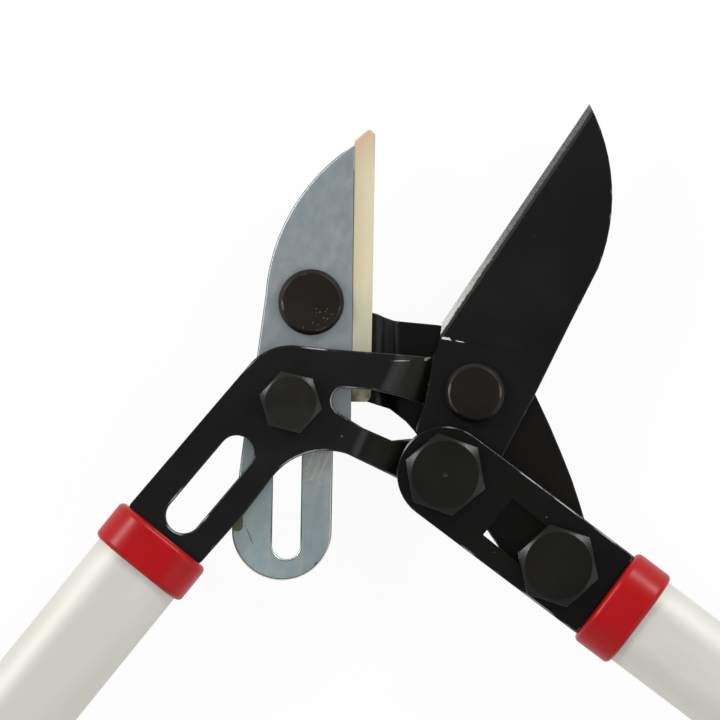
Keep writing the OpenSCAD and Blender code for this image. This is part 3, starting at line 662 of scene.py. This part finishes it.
def nylon(name, colours, foot, nose, left, right):
    """Waxy nylon, tinted along its left seam, at its nose and at its foot, with painted shade in its lower
    part.
    """
    material, tree, shader, place = new_material(name)
    parts = split(tree, rotate(tree, place, FACE_LEAN))
    cloud = noise(tree, stretched(tree, place, 0.0, 0.2), 260.0, 4.0)
    height = calc(tree, "ADD", parts["Y"], vary(tree, cloud, 0.0, LONG_WANDER))
    across = calc(tree, "ADD", parts["X"], vary(tree, cloud, 0.0, CROSS_WANDER))
    base = blend(tree, spread(tree, across, left, right), colours["left"], colours["face"])
    base = blend(tree, spread(tree, parts["X"], left + SEAM_WIDTH, left), base, colours["seam"])
    base = blend(tree, spread(tree, height, nose - NOSE_TINT, nose + NOSE_PAST), base, colours["nose"])
    # Painted shade: the lower part is laid greyer and darker, as if shadowed.
    base = blend(tree, spread(tree, height, foot + LOW_SHADE, foot + LOW_SHADE / 2), base, colours["low"])
    low = calc(tree, "SUBTRACT", 1.0, spread(tree, parts["Y"], foot, foot + FOOT_STAIN))
    stain = calc(tree, "MULTIPLY", low, spread(tree, noise(tree, place, 330.0), 0.38, 0.55))
    base = blend(tree, stain, base, colours["foot"])
    skin = bump(tree, use(tree, pebble, place, Scale=1800.0), 0.08, 0.06 * MM)
    feed(tree, shader, Base_Color=base, Roughness=0.45, Normal=skin)
    feed(tree, shader, Subsurface_Weight=0.1, Subsurface_Scale=1.0, Subsurface_Radius=LIGHT_REACH)
    return material


# The low colours are painted shade for each piece's lower part.
CREAM = {"left": (0.585, 0.50, 0.33, 1), "face": (0.64, 0.60, 0.41, 1), "seam": (0.34, 0.28, 0.15, 1),
         "nose": (0.60, 0.40, 0.27, 1), "low": (0.49, 0.475, 0.35, 1), "foot": (0.22, 0.12, 0.035, 1)}
OLIVE = {"left": (0.13, 0.115, 0.05, 1), "face": (0.13, 0.11, 0.05, 1), "seam": (0.10, 0.085, 0.035, 1),
         "nose": (0.15, 0.13, 0.06, 1), "low": (0.10, 0.085, 0.04, 1), "foot": (0.05, 0.04, 0.02, 1)}
TAN_EDGE, PALE_EDGE = -29.2 * MM, -25.1 * MM
PAD_BELOW, PAD_ABOVE = 3 * MM, 12 * MM
insert_low, insert_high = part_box("anvil_insert")
cream = nylon("cream nylon", CREAM, insert_low.y, insert_high.y, TAN_EDGE, PALE_EDGE)
pad_low, pad_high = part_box("glide_pad")
olive = nylon("olive nylon", OLIVE, pad_low.y - PAD_BELOW, pad_high.y + PAD_ABOVE, pad_low.x, pad_high.x)
print("insert runs from", round(insert_low.y / MM, 1), "to", round(insert_high.y / MM, 1), "mm")

# %% [markdown]
# ## Red plastic and rubber
# The collars and end caps are red plastic with a soft gloss. The grips are matt black rubber with a grained
# skin. Both scuff paler on their edges. They could be told apart by nodes, but numbers are enough, so one
# function takes the colour, the gloss and the grain.


# %% Moulded skins
def moulded(name, colour, roughness, gloss, pebble_scale, depth):
    """Moulded plastic or rubber with a fine grained skin and paler scuffs."""
    material, tree, shader, place = new_material(name)
    cloud = noise(tree, place, 90.0, 5.0)
    pale = shade(colour, 1.3)
    base = blend(tree, cloud, shade(colour, 0.85), shade(colour, 1.15))
    base = blend(tree, use(tree, scratches, place), base, pale, share=0.3)
    base = blend(tree, use(tree, rubbed_edges, place, Amount=0.5, Scale=160.0), base, pale, share=0.4)
    skin = bump(tree, use(tree, pebble, place, Scale=pebble_scale), 0.15, depth)
    feed(tree, shader, Base_Color=base, Roughness=vary(tree, cloud, roughness, 0.16), Normal=skin)
    feed(tree, shader, Specular_IOR_Level=gloss)
    return material


red = moulded("red plastic", (0.375, 0.0042, 0.006, 1), 0.34, 0.22, 900.0, 0.05 * MM)
rubber = moulded("grip rubber", (0.014, 0.014, 0.015, 1), 0.62, 0.4, 1600.0, 0.12 * MM)
print("plastics:", red.name, rubber.name)

# %% [markdown]
# ## Rounding the solids
# A machined solid has knife-sharp edges that no real part has. A bevel modifier could round them, but it
# puts no attribute on the faces that it makes, and the rubbed edges need one. So we copy each node's mesh,
# merge its loose triangles, dissolve the flat ones into whole faces, and bevel some of the sharp edges. The
# new faces carry one of two attributes: "edge" on a bevel's upper part, and "side" on its steep part.

# %% Choosing edges
SHARP = math.radians(32)
FLAT = math.radians(0.6)
BEND_TILT = 0.25


def angle_of(edge):
    """Angle between an edge's two faces."""
    return edge.calc_face_angle(0.0) if len(edge.link_faces) == 2 else 0.0


def is_bend(edge):
    """Whether both faces at an edge look up, or both look down."""
    tilt = [face.normal.z for face in edge.link_faces]
    return len(tilt) == 2 and (min(tilt) > BEND_TILT or max(tilt) < -BEND_TILT)


def middle(edge):
    """The middle of an edge."""
    return (edge.verts[0].co + edge.verts[1].co) / 2


# %% A merged copy of a node
MERGE = 0.002 * MM
HOLE_CLEAR = 6 * MM
LEVER_PIVOT, ANVIL_PIVOT, DRIVE = (0, 0, 0), (-38.2, 21.2, 0), (19.3, -40.1, 0)
PINS = [Vector(place).xy * MM for place in (LEVER_PIVOT, GUIDE, ANVIL_PIVOT, HANDLE_PIVOT, DRIVE)]


def off_holes(point):
    """Whether a point lies clear of the pins' holes."""
    return all((point.xy - pin).length > HOLE_CLEAR for pin in PINS)


def merged_copy(node, merge):
    """A bmesh of a node, its triangles merged into whole faces and its outline's short edges closed up."""
    bm = bmesh.new()
    bm.from_mesh(nodes[node].data)
    bm.faces.layers.float.new("edge")
    bm.faces.layers.float.new("side")
    bmesh.ops.remove_doubles(bm, verts=bm.verts, dist=MERGE)
    if merge > MERGE:
        bmesh.ops.remove_doubles(bm, verts=[v for v in bm.verts if off_holes(v.co)], dist=merge)
    bmesh.ops.dissolve_limit(bm, angle_limit=FLAT, verts=bm.verts, edges=bm.edges)
    return bm


# %% Rounding some edges
STEEP = 0.7


def round_edges(bm, edges, width, segments, steep):
    """Bevel some edges by a width in millimetres, and mark the upper and the steep part of each bevel."""
    if not edges:
        return
    made = bmesh.ops.bevel(bm, geom=edges, offset=width * MM, offset_type="OFFSET", segments=segments,
                           affect="EDGES", profile=0.5, material=-1, clamp_overlap=False, loop_slide=True)
    for face in made["faces"]:
        face.normal_update()
        is_steep = abs(face.normal.z) < steep
        face[bm.faces.layers.float["edge"]] = 0.0 if is_steep else 1.0
        face[bm.faces.layers.float["side"]] = 1.0 if is_steep else 0.0


# %% [markdown]
# ## Bends
# Two of the plates step down behind the blade. A bevel on such a bend would run into the corners of the
# outline beside it, so we slice the sheet across with parallel planes instead, and lower or lift its points
# to a parabola at each bend. The reach of each parabola is kept short where another plate slides close by.


# %% Slices and parabolas
def heading(turn):
    """The direction of an angle in plan."""
    return Vector((math.cos(turn), math.sin(turn), 0))


def slice_across(bm, place, way):
    """Cut every face that a plane crosses."""
    bmesh.ops.bisect_plane(bm, geom=bm.verts[:] + bm.edges[:] + bm.faces[:], dist=MERGE,
                           plane_co=place, plane_no=way)


def inside_corner(along, corner, reach):
    """How far a parabola that spans a corner lies from it, for a slope of 1."""
    if abs(along - corner) >= reach:
        return 0.0
    return (along - corner + reach) ** 2 / (4 * reach) - max(0.0, along - corner)


# %% Softening the bends of a step
SHEET = 4.2 * MM
SLICE = 0.75 * MM
SLICE_MERGE = 0.5 * MM


def soften_step(bm, place, turn, run, upper, lower):
    """Round both bends of a sheet that steps down, by their reach on its upper and its lower side."""
    out = heading(turn)
    heights = [vert.co.z for vert in bm.verts]
    low, drop = min(heights), max(heights) - min(heights) - SHEET
    shift = SHEET * math.tan(math.atan(drop / run) / 2) / 2
    wide = run / 2 + shift + max(upper)
    for cut in range(round(2 * wide / SLICE) + 1):
        slice_across(bm, place + out * (cut * SLICE - wide), out)
    near = [v for v in bm.verts if abs((v.co - place).dot(out)) < wide + SLICE and off_holes(v.co)]
    bmesh.ops.remove_doubles(bm, verts=near, dist=SLICE_MERGE)
    for vert in bm.verts:
        along = (vert.co - place).dot(out)
        sides = []
        for base, bend, reach in ((low, -run / 2 - shift, lower), (low + SHEET, -run / 2 + shift, upper)):
            height = base + drop * (1 - min(max((along - bend) / run, 0.0), 1.0))
            change = inside_corner(along, bend + run, reach[1]) - inside_corner(along, bend, reach[0])
            sides.append((abs(vert.co.z - height), change * drop / run))
        vert.co.z += min(sides)[1]
    bm.normal_update()
    print("step of", round(drop / MM, 2), "mm softened")


# %% [markdown]
# ## Standing for a node
# The frame's own meshes could be edited, but they are the measure of the dressed tool, so they stay as they
# are. A dressed copy rides on the same body as its node and is shown in its place, so that it moves with
# the joint. Weighted normals keep the wide flat faces flat beside their rounded edges.


# %% Standing for a node
def stand_for(bm, node, material, crease=SHARP):
    """Turn a bmesh into the piece that stands for a node."""
    for face in bm.faces:
        face.smooth = True
    for edge in bm.edges:
        edge.smooth = angle_of(edge) < (crease if is_bend(edge) else SHARP)
    mesh = bpy.data.meshes.new(node + "_piece")
    bm.to_mesh(mesh)
    bm.free()
    mesh.materials.append(material)
    piece = bpy.data.objects.new(node + "_piece", mesh)
    scene.collection.objects.link(piece)
    even = piece.modifiers.new("even shading", "WEIGHTED_NORMAL")
    even.keep_sharp = True
    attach(piece, nodes[node]["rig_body"])
    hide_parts(node)
    print(node, "faces:", len(mesh.polygons))


def dress(node, material, width=0.0, segments=3, step=None,
          crease=SHARP, merge=MERGE, where=None, steep=STEEP):
    """Replace a node with a copy of itself that has rounded edges and a finish."""
    bm = merged_copy(node, merge)
    if step:
        soften_step(bm, *step)
    if width:
        sharp = [e for e in bm.edges if angle_of(e) > SHARP and not (step and is_bend(e))]
        round_edges(bm, [e for e in sharp if not where or where(e)], width, segments, steep)
    stand_for(bm, node, material, crease)


# %% [markdown]
# ## The plates and the blade
# The lever plates are stamped from sheet, so their edges are slightly rounded, and the two that step behind
# the blade are bent. One width for every edge would be simpler, but a bevel that is wider than an edge is
# long folds over. So each piece has its own width, and tests leave out edges that are hidden, crowded or
# sharp on the real tool. The blade's ground faces meet at a few degrees, so its small creases stay sharp.

# %% Along a handle
TANG_HOLES = 30 * MM
AXES = {"left": Vector((-72.46, -33.09, 0)) * MM, "right": Vector((30.46, -47.13, 0)) * MM}


def along_handle(side, point):
    """How far a point lies along a handle from its collar's front."""
    return (point - AXES[side]).dot(heading(HANDLE_TURN[side]))


def off_rivets(side, edge):
    """Whether an edge of a plate is not on the rim of a rivet's hole in its tang."""
    return along_handle(side, middle(edge)) < TANG_HOLES or edge.calc_length() > HOLE_CLEAR


# %% Tests for the plates' edges
INSERT_SIDE = -30 * MM
WINDOW_TURN = math.radians(-38.9)
WINDOW_NEAR, WINDOW_FAR, WINDOW_HALF = 15 * MM, 39.4 * MM, 6.2 * MM
GROUND, GRIND_STEP = 3 * MM, 0.6


def left_outline(edge):
    """Whether an edge of the left plate is rounded: not at a rivet's hole."""
    return off_rivets("left", edge)


def right_outline(edge):
    """Whether an edge of the right plate is rounded: not on its punched window, nor at a rivet's hole."""
    reach = middle(edge) - Vector(HANDLE_PIVOT) * MM
    along, across = reach.dot(heading(WINDOW_TURN)), reach.dot(heading(WINDOW_TURN + QUARTER))
    in_window = WINDOW_NEAR < along < WINDOW_FAR and abs(across) < WINDOW_HALF
    return not in_window and off_rivets("right", edge)


def anvil_outline(edge):
    """Whether an edge of the anvil plate lies clear of the rivet's hole and of the insert."""
    point = middle(edge)
    return off_holes(point) and point.x < INSERT_SIDE


def blade_back(edge):
    """Whether an edge lies behind the cutting edge, and not on the step of the grind line."""
    behind = (middle(edge) - EDGE_HEEL).dot(heading(EDGE_TURN - QUARTER)) > GROUND
    return behind and all(face.normal.y < GRIND_STEP for face in edge.link_faces)


# %% Plates, blade and insert
SHORT = 0.28 * MM
BLADE_CREASE = math.radians(2.5)
ZINC_STEEP = 0.9
LEFT_STEP = (*LEFT_BENDS, (3.2 * MM, 2.4 * MM), (1.0 * MM, 2.4 * MM))
LEVER_STEP = (Vector((-21.203, 0, 0)) * MM, 0.0, 3.7 * MM, (1.8 * MM, 1.0 * MM), (1.8 * MM, 1.0 * MM))
dress("left_plate", left_coat, width=0.45, segments=4, step=LEFT_STEP, merge=SHORT,
      where=left_outline)
dress("right_plate", right_coat, width=0.4, segments=4, where=right_outline)
dress("anvil_lever", lever_coat, width=0.35, segments=4, step=LEVER_STEP, merge=SHORT)
dress("blade", blade_finish, width=0.35, crease=BLADE_CREASE, where=blade_back)
dress("anvil_plate", zinc, width=0.45, segments=4, merge=SHORT, where=anvil_outline,
      steep=ZINC_STEEP)
dress("anvil_insert", cream, width=0.35, segments=4)
dress("glide_pad", olive, width=0.1)

# %% [markdown]
# ## Fasteners
# A bolt's head is a hexagon whose corners are turned off by a cone, which leaves a round flat on top. The
# solid has that cone already. A wide bevel would melt it, so the bevel is fine and the crease is kept sharp,
# and the corners catch the light as small bright facets.

# %% Bolts, pins and nuts
HEAD_CREASE = math.radians(12)


def stands_out(edge):
    """Whether an edge is an outer corner, not the inner one under a head."""
    return edge.is_convex


FASTENERS = (
    ("black_fastener", 0.07, {"handle_pivot_bolt": pivot_bolt_black, "guide_bolt": guide_black,
                              "drive_bolt": bolt_black}),
    ("black_fastener", 0.25, {"lever_pivot_pin": pin_black, "lever_pivot_back_head": pin_black,
                              "anvil_pivot_rivet": rivet_black}),
    ("plated_steel", 0.2, {"guide_washer": plated_steel, "guide_nut": plated_steel,
                           "drive_spacer": plated_steel, "drive_nut": plated_steel}))
for slot, width, finishes in FASTENERS:
    for node, finish in finishes.items():
        dress(node, finish, width=width, crease=HEAD_CREASE, where=stands_out)

# %% [markdown]
# ## Handles
# Each handle is a flat oval tube in a red collar. The collar's outer rims are well rounded, and its wall is
# thin. A bevel as wide as the wall would fold its end faces, so we slice the collar near both ends and draw
# the outer points in to a quarter round.

# %% Collars
COLLAR_HALF_FLAT = 3.7 * MM
COLLAR_BORE = 8.2 * MM
FRONT_ROUND, BACK_ROUND, RIM_STEPS = 1.4 * MM, 1.2 * MM, 6
axis_height = (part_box("left_tube")[0].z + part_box("left_tube")[1].z) / 2


def inset_at(depth, radius):
    """How far a quarter round lies inside its side, at a depth from its end."""
    return radius - math.sqrt(radius ** 2 - (radius - max(depth, 0.0)) ** 2) if depth < radius else 0.0


def draw_in(side, vert, front, back):
    """Move a point on the outside of a collar in to its rounded rim."""
    across = heading(HANDLE_TURN[side] + QUARTER)
    sideways = (vert.co - AXES[side]).dot(across)
    flat = math.copysign(max(abs(sideways) - COLLAR_HALF_FLAT, 0.0), sideways)
    rise = vert.co.z - axis_height
    radial = math.hypot(flat, rise)
    if radial > COLLAR_BORE:
        along = along_handle(side, vert.co)
        inset = inset_at(along - front, FRONT_ROUND) + inset_at(back - along, BACK_ROUND)
        vert.co -= (across * flat + Vector((0, 0, rise))) * inset / radial


def dress_collar(side):
    """Replace a collar with a copy whose outer rims are drawn in to a quarter round."""
    bm = merged_copy(side + "_collar", MERGE)
    out = heading(HANDLE_TURN[side])
    reach = [along_handle(side, vert.co) for vert in bm.verts]
    front, back = min(reach), max(reach)
    for step in range(1, RIM_STEPS + 1):
        deep = 1 - math.cos(QUARTER * step / RIM_STEPS)
        slice_across(bm, AXES[side] + out * (front + deep * FRONT_ROUND), out)
        slice_across(bm, AXES[side] + out * (back - deep * BACK_ROUND), out)
    for vert in bm.verts:
        draw_in(side, vert, front, back)
    bm.normal_update()
    for face in bm.faces:
        along = along_handle(side, face.calc_center_median())
        rounded = front < along < front + FRONT_ROUND or back - BACK_ROUND < along < back
        face[bm.faces.layers.float["edge"]] = 1.0 if rounded and abs(face.normal.z) > STEEP else 0.0
    stand_for(bm, side + "_collar", red)


# %% [markdown]
# The tubes' ends and the sleeves are hidden, so they are not rounded. A grip's ribs are, but the seam of its
# flared end is left out, because its short edges would fold.

# %% Tubes, grips and caps
FLARE_START, GRIP_END = 534 * MM, 561.5 * MM


def off_flare(side):
    """A test for edges away from the seam of a grip's flared end."""
    def clear(edge):
        return not FLARE_START <= along_handle(side, middle(edge)) <= GRIP_END

    return clear


for side in HANDLE_TURN:
    dress_collar(side)
    dress(side + "_tube", aluminium[side])
    dress(side + "_tang_rivets", aluminium[side], width=0.25)
    dress(side + "_tang_sleeve", sleeve_black)
    dress(side + "_grip", rubber, width=0.45, where=off_flare(side))
    dress(side + "_end_cap", red, width=0.8, segments=4)

# %% [markdown]
# ## Floor and light
# The photograph's ground is plain white. More light on a grey floor would bleach the tool too, so the floor
# shows white to the camera and in reflections by itself, mixed with a lit surface that keeps the tool's soft
# shadow.

# %% White floor
FLOOR_WHITE = (0.9, 0.9, 0.9, 1)
FLOOR_HALF = 6.0
GLOW_SHARE = 0.94


def white_ground():
    """White to camera and reflections, with some lit white left in for the shadow."""
    material = bpy.data.materials.new("white ground")
    material.use_nodes = True
    tree = material.node_tree
    tree.nodes.clear()
    lit = add(tree, "ShaderNodeBsdfDiffuse", {"Color": FLOOR_WHITE}).outputs[0]
    glow = add(tree, "ShaderNodeEmission", {"Color": (1, 1, 1, 1), "Strength": 1.0}).outputs[0]
    path = add(tree, "ShaderNodeLightPath").outputs
    seen = calc(tree, "MAXIMUM", path["Is Camera Ray"], path["Is Glossy Ray"])
    seen = calc(tree, "MAXIMUM", seen, path["Is Transmission Ray"])
    share = calc(tree, "MULTIPLY", seen, GLOW_SHARE)
    mixed = add(tree, "ShaderNodeMixShader", {0: share, 1: lit, 2: glow}).outputs[0]
    add(tree, "ShaderNodeOutputMaterial", {"Surface": mixed})
    return material


floor_mesh = bpy.data.meshes.new("floor")
bm = bmesh.new()
bmesh.ops.create_grid(bm, x_segments=1, y_segments=1, size=FLOOR_HALF)
bm.to_mesh(floor_mesh)
bm.free()
floor_mesh.materials.append(white_ground())
floor = bpy.data.objects.new("floor", floor_mesh)
scene.collection.objects.link(floor)
print("floor made")

# %% [markdown]
# Two soft lamps stand well above, left and right of the head, as in a product studio, and a wide weak one
# to its right lights the plates' bends. An even white sky would be simpler, but flat black steel mirrors
# what is straight above it and would turn grey. So the world is a pale dome that is dimmer overhead: the
# flats stay black while the edges catch the bright sides.

# %% Lamps and world
LAMP_DISTANCE = 1.9
LAMPS = (("left lamp", 150, 33, 0.45, 17),
         ("right lamp", 48, 33, 0.45, 14.5),
         ("front lamp", -20, 40, 1.2, 5.2))
DOME_SIDE, DOME_TOP, DOME_CHANGE = 0.75, 0.30, (0.45, 0.95)


def soft_lamp(name, azimuth, elevation, size, power):
    """A square area lamp that faces the head of the tool, by its direction in degrees."""
    data = bpy.data.lights.new(name, "AREA")
    data.size = size
    data.energy = power
    rise = math.radians(elevation)
    away = heading(math.radians(azimuth)) * math.cos(rise) + Vector((0, 0, math.sin(rise)))
    lamp = bpy.data.objects.new(name, data)
    lamp.location = aim + away * LAMP_DISTANCE
    lamp.rotation_euler = (-away).to_track_quat("-Z", "Y").to_euler()
    scene.collection.objects.link(lamp)


def studio_dome():
    """A dome of white light, with one level at its sides and another overhead."""
    world = bpy.data.worlds.new("studio")
    world.use_nodes = True
    tree = world.node_tree
    height = split(tree, add(tree, "ShaderNodeTexCoord").outputs["Generated"])["Z"]
    level = blend(tree, spread(tree, height, *DOME_CHANGE), [DOME_SIDE] * 3 + [1], [DOME_TOP] * 3 + [1])
    plug(tree, tree.nodes["Background"].inputs["Color"], level)
    return world


for lamp in LAMPS:
    soft_lamp(*lamp)
scene.world = studio_dome()
scene.view_settings.view_transform = "Standard"
